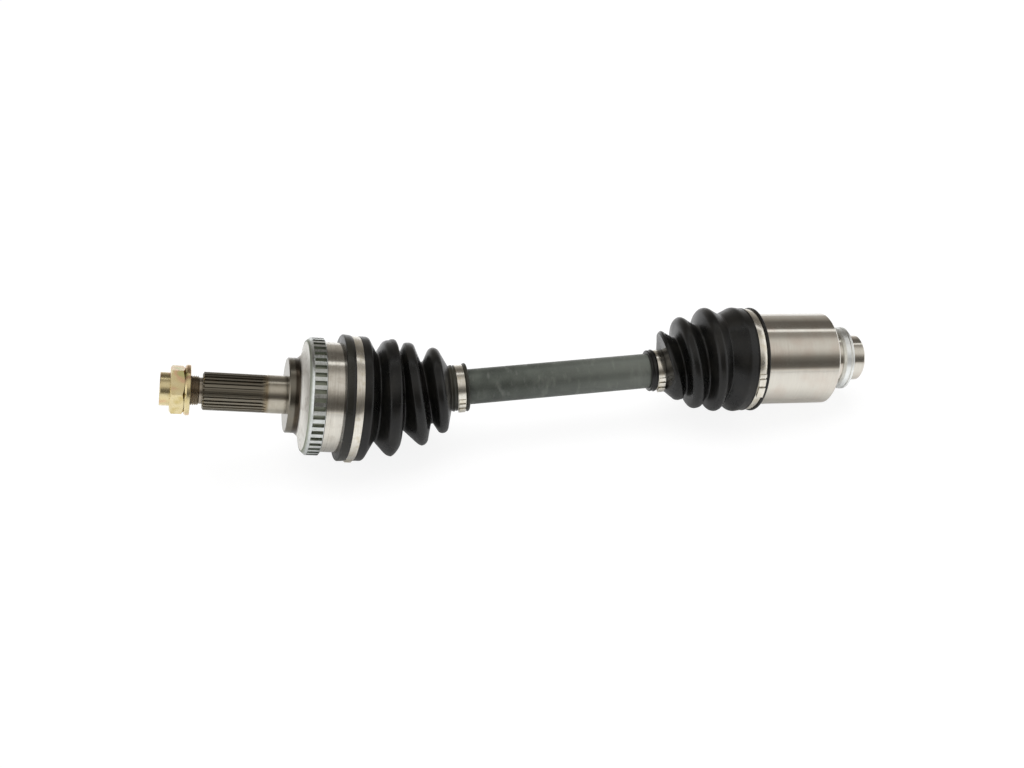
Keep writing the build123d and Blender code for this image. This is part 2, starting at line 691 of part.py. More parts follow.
# ---------------------------------------------------------------- clamps
def make_band(frame, x0, collar_r):
    """Sheet band round the rubber."""
    seat_r = band_seat(collar_r) + seat_fit
    far = x0 + band_width - band_margin
    return frame * sleeve(x0 + band_margin, far, seat_r, seat_r + band_thickness)


def make_buckle(frame, x0, collar_r, place):
    """Folded buckle riding on its band, with a raised bar across it."""
    middle, span = place
    base_r = band_seat(collar_r) + 2 * seat_fit + band_thickness
    near = x0 + buckle_edge
    far = x0 + band_width - buckle_edge
    saddle = arc_block(near, far, base_r, base_r + buckle_height / 2, middle, span)
    return frame * (saddle + arc_block(near, far, base_r, base_r + buckle_height, middle, span / 3))


clamps = {
    "outer_boot_large": (stub_frame, outer_band_start, outer_collar_r, outer_large_buckle),
    "outer_boot_small": (shaft_frame, outer_small_band_start, outer_sleeve_r, outer_small_buckle),
    "inner_boot_small": (shaft_frame, inner_small_band_start, inner_sleeve_r, inner_small_buckle),
    "inner_boot_large": (cup_frame, inner_band_start, inner_collar_r, inner_large_buckle),
}

# ---------------------------------------------------------------- write the pieces
pieces = {
    "outer_joint_housing": make_outer_joint_housing(),
    "abs_tone_ring": make_abs_tone_ring(),
    "hub_nut_washer": make_hub_nut_washer(),
    "hub_nut": make_hub_nut(),
    "outer_cage": make_outer_cage(),
    "outer_balls": make_outer_balls(),
    "outer_inner_race": make_outer_inner_race(),
    "race_circlip": make_race_circlip(),
    "axle_shaft": make_axle_shaft(),
    "tripod_spider": make_tripod_spider(),
    "needle_rollers": make_needle_rollers(),
    "needle_retainers": make_needle_retainers(),
    "trunnion_circlips": make_trunnion_circlips(),
    "spider_snap_rings": make_spider_snap_rings(),
    "inner_joint_housing": make_inner_joint_housing(),
    "inner_dust_ring": make_inner_dust_ring(),
    "outer_boot": make_outer_boot(),
    "inner_boot": make_inner_boot(),
}
for number, roller in enumerate(make_rollers(), start=1):
    pieces[f"tripod_roller_{number}"] = roller
for name, (frame, x0, collar_r, place) in clamps.items():
    pieces[f"{name}_band"] = make_band(frame, x0, collar_r)
    pieces[f"{name}_buckle"] = make_buckle(frame, x0, collar_r, place)

os.makedirs("parts", exist_ok=True)
for name, piece in pieces.items():
    export_step(piece, f"parts/{name}.step")
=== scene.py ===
import json
from math import asin, atan2, cos, pi, radians, sin, tau

import bmesh
import bpy
from bpy.props import FloatProperty, FloatVectorProperty, IntProperty, PointerProperty
from bpy.types import Operator, Panel, PropertyGroup
from mathutils import Matrix, Vector


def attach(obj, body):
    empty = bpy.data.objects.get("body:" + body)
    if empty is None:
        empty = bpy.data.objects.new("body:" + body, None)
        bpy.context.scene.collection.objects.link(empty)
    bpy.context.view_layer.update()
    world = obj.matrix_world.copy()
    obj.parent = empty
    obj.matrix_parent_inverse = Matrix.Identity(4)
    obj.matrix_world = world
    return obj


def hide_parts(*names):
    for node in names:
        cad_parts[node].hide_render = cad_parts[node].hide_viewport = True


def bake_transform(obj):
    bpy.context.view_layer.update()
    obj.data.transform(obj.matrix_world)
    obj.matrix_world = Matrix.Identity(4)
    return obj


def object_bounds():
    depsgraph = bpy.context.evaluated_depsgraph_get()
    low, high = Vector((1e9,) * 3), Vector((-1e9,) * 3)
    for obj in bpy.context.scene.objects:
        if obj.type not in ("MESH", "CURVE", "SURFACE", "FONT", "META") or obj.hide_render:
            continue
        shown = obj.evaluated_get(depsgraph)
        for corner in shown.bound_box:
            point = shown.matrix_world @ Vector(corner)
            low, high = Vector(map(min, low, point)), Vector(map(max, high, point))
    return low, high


bl_info = {
    "name": "Drive axle",
    "version": (1, 0, 0),
    "blender": (4, 5, 0),
    "location": "View3D > Sidebar > Axle",
    "description": "Dresses a jointed drive axle: rubber boots, clamps and metal finishes",
    "category": "Object",
}

MM = 0.001
sharp_angle = radians(40)     # an edge that turns more than this is drawn sharp
axle_middle = (0.2, 0.0)      # about half way along the axle, where the lamp and the floor are centred

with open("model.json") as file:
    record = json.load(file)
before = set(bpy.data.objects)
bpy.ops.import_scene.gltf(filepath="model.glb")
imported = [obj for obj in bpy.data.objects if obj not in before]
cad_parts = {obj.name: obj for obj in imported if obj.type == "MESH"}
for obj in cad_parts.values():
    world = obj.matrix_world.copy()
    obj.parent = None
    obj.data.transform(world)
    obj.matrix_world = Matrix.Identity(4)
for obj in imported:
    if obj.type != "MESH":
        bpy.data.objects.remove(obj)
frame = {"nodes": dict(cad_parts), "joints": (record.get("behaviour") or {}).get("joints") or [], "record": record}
cad_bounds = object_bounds()


# ---------------------------------------------------------------- where things are
def axis_frame(centre, direction):
    """Frame with its X along a line in the XZ plane, and its Y kept."""
    direction = Vector(direction).normalized()
    up = Vector((-direction.z, 0, direction.x))
    rotation = Matrix((direction, (0, 1, 0), up)).transposed()
    return Matrix.Translation(Vector(centre)) @ rotation.to_4x4()


def span_of(node, axes):
    """Where a CAD node lies along and round an axis: start, end, smallest and largest radius."""
    back = axes.inverted()
    points = [back @ v.co for v in frame["nodes"][node].data.vertices]
    along = [p.x for p in points]
    radii = [Vector((p.y, p.z)).length for p in points]
    return min(along), max(along), min(radii), max(radii)


def clock_of(node, axes):
    """The clock angles between which a CAD node lies round an axis, from +Y towards +Z."""
    back = axes.inverted()
    points = [back @ v.co for v in frame["nodes"][node].data.vertices]
    angles = [atan2(p.z, p.y) % tau for p in points]
    return min(angles), max(angles)


joints = {joint["name"]: joint for joint in frame["joints"]}
mounts = {mount["name"]: mount for mount in frame["record"]["mounts"]}
outer_centre = Vector(joints["outer_articulation"]["pos_m"])
inner_centre = Vector(joints["inner_articulation"]["pos_m"])
stub_axes = axis_frame(outer_centre, -Vector(joints["nut_travel"]["axis"]))
shaft_axes = axis_frame(outer_centre, inner_centre - outer_centre)
cup_axes = axis_frame(inner_centre, joints["plunge"]["axis"])


def linear(hex_colour):
    """An sRGB hex colour as linear RGBA."""
    parts = [int(hex_colour[k:k + 2], 16) / 255 for k in (1, 3, 5)]
    return [p / 12.92 if p <= 0.04045 else ((p + 0.055) / 1.055) ** 2.4 for p in parts] + [1.0]


# ---------------------------------------------------------------- settings
class AxleBootSettings(PropertyGroup):
    wall: FloatProperty(name="Wall", description="Rubber thickness of the folds", default=1.5 * MM,
                        unit="LENGTH")
    lip: FloatProperty(name="Lip", description="Rounding of the free lips", default=1.3 * MM, unit="LENGTH")
    gap: FloatProperty(name="Fit", description="Room left between the rubber and the metal it grips",
                       default=0.15 * MM, unit="LENGTH")
    proud: FloatProperty(name="Proud", description="How far the rubber beside a clamp stands above it",
                         default=0.3 * MM, unit="LENGTH")
    sides: IntProperty(name="Sides", description="Steps round a boot", default=160, min=24)
    colour: FloatVectorProperty(name="Rubber", description="Moulded chloroprene rubber", subtype="COLOR",
                                size=4, default=linear("#0d0d0c"))


class AxleClampSettings(PropertyGroup):
    edge: FloatProperty(name="Edge", description="Rounding of the edges of the strip", default=0.2 * MM,
                        unit="LENGTH")
    strip: FloatProperty(name="Strip", description="Thickness of the overlapping end of the strip",
                         default=0.55 * MM, unit="LENGTH")
    overlap: FloatProperty(name="Overlap", description="Length of the overlapping end of the strip",
                           default=3.0 * MM, unit="LENGTH")
    slit: FloatProperty(name="Slit", description="Gap between the overlapping end and the folded lugs",
                        default=1.0 * MM, unit="LENGTH")
    sides: IntProperty(name="Sides", description="Steps round a clamp", default=160, min=24)
    colour: FloatVectorProperty(name="Stainless", description="Brushed stainless strip", subtype="COLOR",
                                size=4, default=linear("#eae6dc"))


class AxleMetalSettings(PropertyGroup):
    steel: FloatVectorProperty(name="Steel", description="Turned and polished steel", subtype="COLOR",
                               size=4, default=linear("#dcd8ce"))
    zinc: FloatVectorProperty(name="Zinc", description="Blue-white zinc plate on the speed ring",
                              subtype="COLOR", size=4, default=linear("#d2d5d3"))
    pale_zinc: FloatVectorProperty(name="Pale zinc", description="Fresh zinc plate on the dust ring",
                                   subtype="COLOR", size=4, default=linear("#f2f4f2"))
    yellow_zinc: FloatVectorProperty(name="Yellow zinc", description="Yellow chromate on zinc",
                                     subtype="COLOR", size=4, default=linear("#dccb9b"))
    phosphate: FloatVectorProperty(name="Phosphate", description="Oiled manganese phosphate",
                                   subtype="COLOR", size=4, default=linear("#4b4f49"))


class AxleStageSettings(PropertyGroup):
    lens: FloatProperty(name="Lens", description="Focal length in millimetres", default=45.0)
    floor_side: FloatProperty(name="Floor", description="Side of the floor", default=8.0, unit="LENGTH")
    key: FloatProperty(name="Key lamp", description="Power of the overhead lamp in watts", default=24.0)
    surroundings: FloatProperty(name="Surroundings", description="Light from all round", default=0.5)
    tent: FloatProperty(name="Tent", description="Radius of the tent that metal reflects", default=1.6,
                        unit="LENGTH")
    paper: FloatVectorProperty(name="Paper", description="White background paper", subtype="COLOR",
                               size=4, default=linear("#f4f4f4"))


# ---------------------------------------------------------------- nodes
def add_node(tree, kind, inputs=None, stops=None, **settings):
    """Adds a node. An input is given a value, a socket, or a node whose first output feeds it."""
    node = tree.nodes.new(kind)
    for name, value in settings.items():
        setattr(node, name, value)
    for key, value in (inputs or {}).items():
        live = [socket for socket in node.inputs if socket.enabled and socket.name == key]
        socket = live[0] if live else node.inputs[key]
        if isinstance(value, bpy.types.Node):
            value = next(output for output in value.outputs if output.enabled)
        if isinstance(value, bpy.types.NodeSocket):
            tree.links.new(value, socket)
        else:
            socket.default_value = value
    if stops:
        elements = node.color_ramp.elements
        elements[0].position, elements[0].color = stops[0]
        elements[1].position, elements[1].color = stops[-1]
        for place, colour in stops[1:-1]:
            elements.new(place).color = colour
    return node


def new_material(name, **constants):
    """An empty material with its shader; constants are set on the shader's own sockets."""
    material = bpy.data.materials.new(name)
    material.use_nodes = True
    tree = material.node_tree
    tree.nodes.clear()
    shader = add_node(tree, "ShaderNodeBsdfPrincipled")
    for key, value in constants.items():
        shader.inputs[key.replace("_", " ").title().replace("Ior", "IOR")].default_value = value
    add_node(tree, "ShaderNodeOutputMaterial", {"Surface": shader})
    return material, tree, shader


def link_finish(tree, shader, base, layers, rough, height, depth):
    """Feeds a shader its base colour under layers, its roughness, and a relief of a depth in metres.
    A layer is a share and the hex colour that shows there."""
    for share, tone in layers:
        base = add_node(tree, "ShaderNodeMix", {"Factor": share, "A": base, "B": linear(tone)},
                        data_type="RGBA")
    relief = add_node(tree, "ShaderNodeBump", {"Height": height, "Strength": 1.0, "Distance": depth})
    for key, node in (("Base Color", base), ("Roughness", rough), ("Normal", relief)):
        tree.links.new(next(output for output in node.outputs if output.enabled), shader.inputs[key])


def in_millimetres(tree, axes):
    """Object coordinates in millimetres, in the frame of an axis."""
    back = axes.inverted()
    place = add_node(tree, "ShaderNodeTexCoord").outputs["Object"]
    return add_node(tree, "ShaderNodeMapping", {
        "Vector": place, "Location": back.translation / MM, "Rotation": back.to_euler(),
        "Scale": (1 / MM, 1 / MM, 1 / MM)})


def round_axis(tree, local, drift):
    """Places along an axis and from it, and coordinates that change little round it, so that marks run
    round. The drift is how far a mark may change in one turn, in millimetres."""
    parts = add_node(tree, "ShaderNodeSeparateXYZ", {"Vector": local})
    across = add_node(tree, "ShaderNodeCombineXYZ", {"Y": parts.outputs["Y"], "Z": parts.outputs["Z"]})
    radius = add_node(tree, "ShaderNodeVectorMath", {"Vector": across}, operation="LENGTH")
    turn = add_node(tree, "ShaderNodeVectorMath", {"Vector": across}, operation="NORMALIZE")
    slow = add_node(tree, "ShaderNodeVectorMath", {"Vector": turn, "Scale": drift}, operation="SCALE")
    out = add_node(tree, "ShaderNodeCombineXYZ", {"X": parts.outputs["X"], "Y": radius.outputs["Value"]})
    marks = add_node(tree, "ShaderNodeVectorMath", {0: out, 1: slow}, operation="ADD")
    return parts.outputs["X"], radius.outputs["Value"], marks


# ---------------------------------------------------------------- finishes
def moulded_rubber(name, colour, rim, neck):
    """Moulded chloroprene: deep black and satin, with mould grain, dull patches, and dust on the neck and
    the rim. The rim and the neck are each an axis and a radius in millimetres."""
    material, tree, shader = new_material(name, specular_ior_level=0.35)
    local = in_millimetres(tree, rim[0])
    # mould grain is about 0.3 mm, drawn at 0.9 mm so that it shows
    bloom_size, speck_size, grain_size = 16.0, 2.2, 0.9
    bloom = add_node(tree, "ShaderNodeTexNoise", {"Vector": local, "Scale": 1 / bloom_size, "Detail": 3.0})
    dust = add_node(tree, "ShaderNodeTexNoise", {"Vector": local, "Scale": 1 / speck_size, "Detail": 5.0})
    grain = add_node(tree, "ShaderNodeTexNoise", {"Vector": local, "Scale": 1 / grain_size, "Detail": 3.0})
    patch = add_node(tree, "ShaderNodeMapRange", {
        "Value": bloom, "From Min": 0.45, "From Max": 0.75, "To Max": 0.7})
    speck = add_node(tree, "ShaderNodeMapRange", {
        "Value": dust, "From Min": 0.6, "From Max": 0.8, "To Max": 0.5})
    dusty = []
    for (axes, radius), outward, share in ((rim, 1.5, 0.55), (neck, -5.0, 0.6)):
        reach = round_axis(tree, in_millimetres(tree, axes), 1.0)[1]
        dusty.append(add_node(tree, "ShaderNodeMapRange", {
            "Value": reach, "From Min": radius, "From Max": radius + outward, "To Max": share}))
    dull = add_node(tree, "ShaderNodeMath", {0: dusty[0], 1: dusty[1]}, operation="MAXIMUM")
    rough = add_node(tree, "ShaderNodeMapRange", {
        "Value": bloom, "From Min": 0.3, "From Max": 0.7, "To Min": 0.24, "To Max": 0.36})
    layers = ((patch, "#1d1b17"), (speck, "#2c2a24"), (dull, "#413f34"))
    link_finish(tree, shader, tuple(colour), layers, rough, grain, 0.03 * MM)
    return material


def brushed_strip(name, colour, axes):
    """Rolled stainless strip: fine lines run along it, with straw-coloured patches and dull scuffs."""
    material, tree, shader = new_material(name, metallic=1.0)
    local = in_millimetres(tree, axes)
    marks = round_axis(tree, local, 2.0)[2]
    # rolling lines are about 0.1 mm apart, drawn at 0.45 mm so that they show
    line_gap, scuff_size = 0.45, 4.0
    lines = add_node(tree, "ShaderNodeTexNoise", {"Vector": marks, "Scale": 1 / line_gap, "Detail": 4.0})
    scuffs = add_node(tree, "ShaderNodeTexNoise", {"Vector": local, "Scale": 1 / scuff_size, "Detail": 4.0})
    worn = add_node(tree, "ShaderNodeMapRange", {
        "Value": lines, "From Min": 0.35, "From Max": 0.65, "To Max": 0.45})
    straw = add_node(tree, "ShaderNodeMapRange", {
        "Value": scuffs, "From Min": 0.5, "From Max": 0.75, "To Max": 0.6})
    rough = add_node(tree, "ShaderNodeMapRange", {
        "Value": scuffs, "From Min": 0.3, "From Max": 0.7, "To Min": 0.17, "To Max": 0.26})
    layers = ((worn, "#c6bfb0"), (straw, "#cfc4a8"))
    link_finish(tree, shader, tuple(colour), layers, rough, lines, 0.008 * MM)
    return material


def turned_housing_steel(name, colour):
    """Hardened and turned steel: oiled dark splines, a ground shank, a dull brown shoulder, painted shade
    where the shoulder runs into the flare, a flare painted pale as a highlight, and a bright bell."""
    material, tree, shader = new_material(name, metallic=1.0)
    back = stub_axes.inverted()
    local = in_millimetres(tree, stub_axes)
    along, _, marks = round_axis(tree, local, 1.2)
    end = (back @ Vector(mounts["hub_thread"]["pos_m"])).x / MM
    spline = (back @ Vector(mounts["hub_spline"]["pos_m"])).x / MM
    face = back.translation.x / MM
    shank = face - mounts["hub_shank"]["dims"]["length_mm"]
    runout = shank - 4.5
    ring_start, ring_end = (value / MM for value in span_of("abs_tone_ring", stub_axes)[:2])
    mouth = span_of("outer_joint_housing", stub_axes)[1] / MM
    place = add_node(tree, "ShaderNodeMapRange", {"Value": along, "From Min": end, "From Max": mouth})

    def bands(*pairs):
        """Stops of a ramp from places along the stub in millimetres."""
        return [((x - end) / (mouth - end), value) for x, value in pairs]

    # dark is painted shade where the shoulder runs into the flare; pale is a painted highlight on the flare
    thread, oiled, rusty, ground, brown, dark, pale = (linear(tone) for tone in (
        "#a39a8c", "#7d786c", "#8d7f66", "#b9b3a5", "#78746a", "#3e372e", "#f8f7f2"))
    bright = tuple(colour)
    shoulder = face + 4.0
    flare = shoulder + 5.0
    # the stops from shoulder + 1 to the flare paint shade, and the flare is painted pale as a highlight
    base = add_node(tree, "ShaderNodeValToRGB", {"Fac": place}, stops=bands(
        (end, thread), (spline - 1.0, thread), (spline, oiled), (runout, oiled), (shank - 1.0, rusty),
        (shank + 1.0, ground), (face - 0.6, ground), (face - 0.1, brown), (shoulder, brown),
        (shoulder + 1.0, dark), (flare - 0.8, dark), (flare, pale), (ring_start, pale), (ring_end, bright),
        (mouth, bright)))
    gloss = add_node(tree, "ShaderNodeValToRGB", {"Fac": place}, stops=bands(
        *((x, (value, value, value, 1)) for x, value in (
            (end, 0.32), (runout, 0.3), (shank, 0.2), (face - 0.6, 0.2), (face, 0.24), (flare - 0.8, 0.24),
            (flare, 0.6), (ring_start, 0.6), (ring_end, 0.13), (mouth, 0.13)))))
    # turning marks are about 0.2 mm apart, drawn at 0.7 mm so that they show
    mark_gap, stain_size = 0.7, 7.0
    lines = add_node(tree, "ShaderNodeTexNoise", {"Vector": marks, "Scale": 1 / mark_gap, "Detail": 4.0})
    stains = add_node(tree, "ShaderNodeTexNoise", {"Vector": local, "Scale": 1 / stain_size, "Detail": 4.0})
    worn = add_node(tree, "ShaderNodeMapRange", {
        "Value": lines, "From Min": 0.35, "From Max": 0.7, "To Max": 0.2})
    oil = add_node(tree, "ShaderNodeMapRange", {
        "Value": stains, "From Min": 0.5, "From Max": 0.8, "To Max": 0.35})
    link_finish(tree, shader, base, ((worn, "#8a847a"), (oil, "#8c7c68")), gloss, lines, 0.004 * MM)
    return material


def zinc_plate(name, colour, dull, axes, gloss, floors=None):
    """Blue-white zinc: pale and bright, mottled where the passivation varies, rougher on the floors of slots
    and painted darker olive there as shade. The gloss is the least and greatest roughness, and the floors
    lie between two radii."""
    material, tree, shader = new_material(name, metallic=1.0)
    local = in_millimetres(tree, axes)
    radius, marks = round_axis(tree, local, 1.0)[1:]
    # turning marks are about 0.2 mm apart, drawn at 0.7 mm so that they show
    mottle_size, mark_gap = 3.0, 0.7
    mottle = add_node(tree, "ShaderNodeTexNoise", {
        "Vector": local, "Scale": 1 / mottle_size, "Detail": 4.0})
    lines = add_node(tree, "ShaderNodeTexNoise", {"Vector": marks, "Scale": 1 / mark_gap, "Detail": 3.0})
    layers = [(add_node(tree, "ShaderNodeMapRange", {
        "Value": mottle, "From Min": 0.4, "From Max": 0.75, "To Max": 0.6}), dull)]
    rough = add_node(tree, "ShaderNodeMapRange", {
        "Value": lines, "From Min": 0.3, "From Max": 0.7, "To Min": gloss[0], "To Max": gloss[1]})
    if floors:
        depth = add_node(tree, "ShaderNodeMapRange", {
            "Value": radius, "From Min": floors[0], "From Max": floors[1], "To Min": 1.0, "To Max": 0.0})
        # painted shade: the floors of the slots turn darker olive with depth
        layers.append((depth, "#9ba091"))
        rough = add_node(tree, "ShaderNodeMix", {"Factor": depth, "A": rough, "B": 0.55})
    link_finish(tree, shader, tuple(colour), layers, rough, lines, 0.008 * MM)
    return material


def yellow_zinc_plate(name, colour):
    """Yellow chromate on zinc: pale gold that drifts to olive and pink with the thickness of the film."""
    material, tree, shader = new_material(name, metallic=1.0)
    local = in_millimetres(tree, stub_axes)
    film_size, grain_size = 16.0, 1.0
    film = add_node(tree, "ShaderNodeTexNoise", {"Vector": local, "Scale": 1 / film_size, "Detail": 2.0})
    grain = add_node(tree, "ShaderNodeTexNoise", {"Vector": local, "Scale": 1 / grain_size, "Detail": 4.0})
    base = add_node(tree, "ShaderNodeValToRGB", {"Fac": film}, stops=[
        (0.30, linear("#c9b678")), (0.42, linear("#e0d2a6")), (0.52, tuple(colour)),
        (0.60, linear("#dbb592")), (0.70, linear("#c0bb84"))])
    rough = add_node(tree, "ShaderNodeMapRange", {
        "Value": grain, "From Min": 0.3, "From Max": 0.7, "To Min": 0.18, "To Max": 0.3})
    link_finish(tree, shader, base, (), rough, grain, 0.012 * MM)
    return material


def phosphated_bar(name, colour):
    """Oiled manganese phosphate on a forged bar: grey-green and crystalline, with scuffs, and paler towards
    the inner boot."""
    material, tree, shader = new_material(name, metallic=0.4)
    local = in_millimetres(tree, shaft_axes)
    along, _, marks = round_axis(tree, local, 6.0)
    first = span_of("outer_boot_small_band", shaft_axes)[1] / MM
    last = span_of("inner_boot_small_band", shaft_axes)[0] / MM
    # phosphate crystals are a few hundredths of a millimetre, drawn at 1 mm so that they show
    crystal_size, cloud_size, rub_size = 1.0, 12.0, 5.0
    crystals = add_node(tree, "ShaderNodeTexNoise", {
        "Vector": local, "Scale": 1 / crystal_size, "Detail": 5.0, "Roughness": 0.7})
    cloud = add_node(tree, "ShaderNodeTexNoise", {"Vector": local, "Scale": 1 / cloud_size, "Detail": 4.0})
    rub = add_node(tree, "ShaderNodeTexNoise", {"Vector": marks, "Scale": 1 / rub_size, "Detail": 5.0})
    speckle = add_node(tree, "ShaderNodeMapRange", {"Value": crystals, "From Min": 0.3, "From Max": 0.7})
    patch = add_node(tree, "ShaderNodeMapRange", {
        "Value": cloud, "From Min": 0.42, "From Max": 0.7, "To Max": 0.5})
    # the bar is painted paler towards the inner boot
    paler = add_node(tree, "ShaderNodeMapRange", {
        "Value": along, "From Min": first, "From Max": last, "To Min": 0.0, "To Max": 0.75},
        interpolation_type="SMOOTHSTEP")
    scuffed = add_node(tree, "ShaderNodeMapRange", {
        "Value": rub, "From Min": 0.55, "From Max": 0.75, "To Max": 0.5})
    rough = add_node(tree, "ShaderNodeMapRange", {
        "Value": crystals, "From Min": 0.3, "From Max": 0.7, "To Min": 0.36, "To Max": 0.5})
    layers = ((speckle, "#393d38"), (patch, "#5f645c"), (paler, "#6c7069"), (scuffed, "#7d8079"))
    link_finish(tree, shader, tuple(colour), layers, rough, crystals, 0.03 * MM)
    return material


def ground_cup_steel(name, colour):
    """Ground steel: long straight reflections, barely broken by fine grinding lines, with a warm cloud of
    oil."""
    material, tree, shader = new_material(name, metallic=1.0)
    local = in_millimetres(tree, cup_axes)
    marks = round_axis(tree, local, 0.8)[2]
    # grinding lines are about 0.05 mm apart, drawn at 0.6 mm so that they show
    line_gap, cloud_size = 0.6, 15.0
    lines = add_node(tree, "ShaderNodeTexNoise", {"Vector": marks, "Scale": 1 / line_gap, "Detail": 5.0})
    cloud = add_node(tree, "ShaderNodeTexNoise", {"Vector": local, "Scale": 1 / cloud_size, "Detail": 3.0})
    worn = add_node(tree, "ShaderNodeMapRange", {
        "Value": lines, "From Min": 0.35, "From Max": 0.7, "To Max": 0.12})
    oil = add_node(tree, "ShaderNodeMapRange", {
        "Value": cloud, "From Min": 0.45, "From Max": 0.75, "To Max": 0.3})
    rough = add_node(tree, "ShaderNodeMapRange", {
        "Value": lines, "From Min": 0.3, "From Max": 0.7, "To Min": 0.1, "To Max": 0.14})
    layers = ((worn, "#948b84"), (oil, "#c4ab9c"))
    link_finish(tree, shader, tuple(colour), layers, rough, lines, 0.002 * MM)
    return material


def machined_steel(name, colour, dark, roughness):
    """Hardened steel inside the joints: bright ground faces under a film of grease."""
    material, tree, shader = new_material(name, metallic=1.0)
    local = in_millimetres(tree, Matrix())
    film_size = 4.0
    film = add_node(tree, "ShaderNodeTexNoise", {"Vector": local, "Scale": 1 / film_size, "Detail": 4.0})
    patch = add_node(tree, "ShaderNodeMapRange", {"Value": film, "From Min": 0.4, "From Max": 0.7})
    rough = add_node(tree, "ShaderNodeMapRange", {
        "Value": film, "From Min": 0.3, "From Max": 0.7, "To Min": roughness, "To Max": roughness + 0.15})
    link_finish(tree, shader, linear(colour), ((patch, dark),), rough, film, 0.004 * MM)
    return material


def dress(node, material):
    """Gives a CAD node its finish."""
    mesh = frame["nodes"][node].data
    mesh.materials.clear()
    mesh.materials.append(material)


# ---------------------------------------------------------------- shapes
def rounded_line(stations, steps):
    """Arcs joined by their common tangents. A station is x, height, and its radius: above 0 on a crest,
    below 0 in a valley and 0 at a corner."""
    centres = [Vector((x, height - radius)) for x, height, radius in stations]
    radii = [station[2] for station in stations]
    slopes = []
    for k in range(len(stations) - 1):
        gap = centres[k + 1] - centres[k]
        slopes.append(atan2(gap.y, gap.x) - asin((radii[k] - radii[k + 1]) / gap.length))
    points = []
    for k, (centre, radius) in enumerate(zip(centres, radii)):
        first = slopes[k - 1] if k else slopes[0]
        last = slopes[k] if k < len(slopes) else slopes[-1]
        count = steps if radius and first != last else 0
        for step in range(count + 1):
            slope = first + (last - first) * step / max(count, 1)
            points.append(centre + radius * Vector((-sin(slope), cos(slope))))
    return points


def spun(outline, sides):
    """Closed mesh from a closed outline of (x, height) points, turned about X."""
    bm = bmesh.new()
    verts = [bm.verts.new((p[0], 0, p[1])) for p in outline]
    edges = [bm.edges.new(pair) for pair in zip(verts, verts[1:] + verts[:1])]
    bmesh.ops.spin(bm, geom=verts + edges, cent=(0, 0, 0), axis=(1, 0, 0), angle=tau, steps=sides,
                   use_merge=True)
    bmesh.ops.recalc_face_normals(bm, faces=bm.faces)
    return bm


def finish_piece(name, bm, material):
    """Smooth-shaded object at the origin from a mesh that is already in place."""
    mesh = bpy.data.meshes.new(name)
    bm.to_mesh(mesh)
    bm.free()
    mesh.shade_smooth()
    mesh.set_sharp_from_angle(angle=sharp_angle)
    piece = bpy.data.objects.new(name, mesh)
    bpy.context.scene.collection.objects.link(piece)
    mesh.materials.append(material)
    return piece


def boot_path(start, start_direction, end, end_direction, rise):
    """Middle line of a bent boot: its place at a share of the way, straight on beyond its ends, and its
    length."""
    reach = (end - start).length

    def at(share):
        t = min(max(share, 0.0), 1.0)
        run0, run1 = start_direction * reach, end_direction * reach
        place = (start * (1 - 3 * t ** 2 + 2 * t ** 3) + run0 * (t - 2 * t ** 2 + t ** 3)
                 + end * (3 * t ** 2 - 2 * t ** 3) + run1 * (t ** 3 - t ** 2))
        place.z += rise * sin(pi * t) ** 2
        beyond = end_direction if share > t else start_direction
        return place + beyond * (share - t) * reach

    return at, reach


def value_at(share, places):
    """A value at a share of the way, between places that list a share and the value there."""
    for (share0, value0), (share1, value1) in zip(places, places[1:]):
        if share <= share1:
            return value0 + (value1 - value0) * max(share - share0, 0.0) / (share1 - share0)
    return places[-1][1]


def cut_across(bm, place, keep_before):
    """Cuts a closed shell across X and keeps one side, with the cut wall closed again."""
    whole = bm.verts[:] + bm.edges[:] + bm.faces[:]
    bmesh.ops.bisect_plane(bm, geom=whole, dist=MM / 1000, plane_co=(place, 0, 0), plane_no=(1, 0, 0),
                           clear_outer=keep_before, clear_inner=not keep_before)
    bmesh.ops.bridge_loops(bm, edges=[e for e in bm.edges if e.is_boundary])
    bmesh.ops.recalc_face_normals(bm, faces=bm.faces)


def boot_shells(names, cut, ends, seats, grips, folds, lead, tail, rise, settings, material):
    """Boot on its bent path: folds between two straight ends that carry the grooves for its bands.
    A fold is its share of the way, its height over a plain cone, its rounding, its lean and its lift.
    Lean 0 stands square to the first end and 1 to the last. With two names the boot is made in two
    lengths, parted at a cut that is measured from the end of the folds."""
    (start, start_direction), (end, end_direction) = ends
    at, reach = boot_path(start, start_direction, end, end_direction, rise)
    turns = [atan2(-d.z, d.x) for d in (start_direction, end_direction)]
    stations, leans, lifts = [], [(0.0, 0.0)], [(0.0, 0.0)]
    crest_hold, valley_hold = 0.7, 1e-4
    for share, height, rounding, lean, lift in folds:
        radius = seats[0] + share * (seats[1] - seats[0]) + height
        stations.append((share * reach, radius, rounding))
        # a crest keeps one lean all over its rounding
        hold = max(crest_hold * rounding / reach, valley_hold)
        leans += [(share - hold, lean), (share + hold, lean)]
        lifts.append((share, lift))
    leans.append((1.0, 1.0))
    lifts.append((1.0, 0.0))
    tail = [(reach + x, r, k) for x, r, k in tail]
    inside = [(lead[0][0], grips[0], 0.0), (0.0, grips[0], 0.0)]
    inside += [(x, r - settings.wall, kind - settings.wall) for x, r, kind in stations]
    inside += [(reach, grips[1], 0.0), (tail[-1][0], grips[1], 0.0)]
    outside_steps, inside_steps = 10, 5
    outline = rounded_line([*lead, *stations, *tail], outside_steps)
    outline += rounded_line(inside, inside_steps)[::-1]
    pieces = []
    for k, name in enumerate(names):
        bm = spun(outline, settings.sides)
        if len(names) > 1:
            cut_across(bm, reach + cut, k == 0)
        for v in bm.verts:
            share = v.co.x / reach
            turn = turns[0] + (turns[1] - turns[0]) * value_at(share, leans)
            lift = value_at(share, lifts)
            v.co = at(share) + Vector((sin(turn) * v.co.z, v.co.y, cos(turn) * v.co.z + lift))
        pieces.append(finish_piece(name, bm, material))
    return pieces


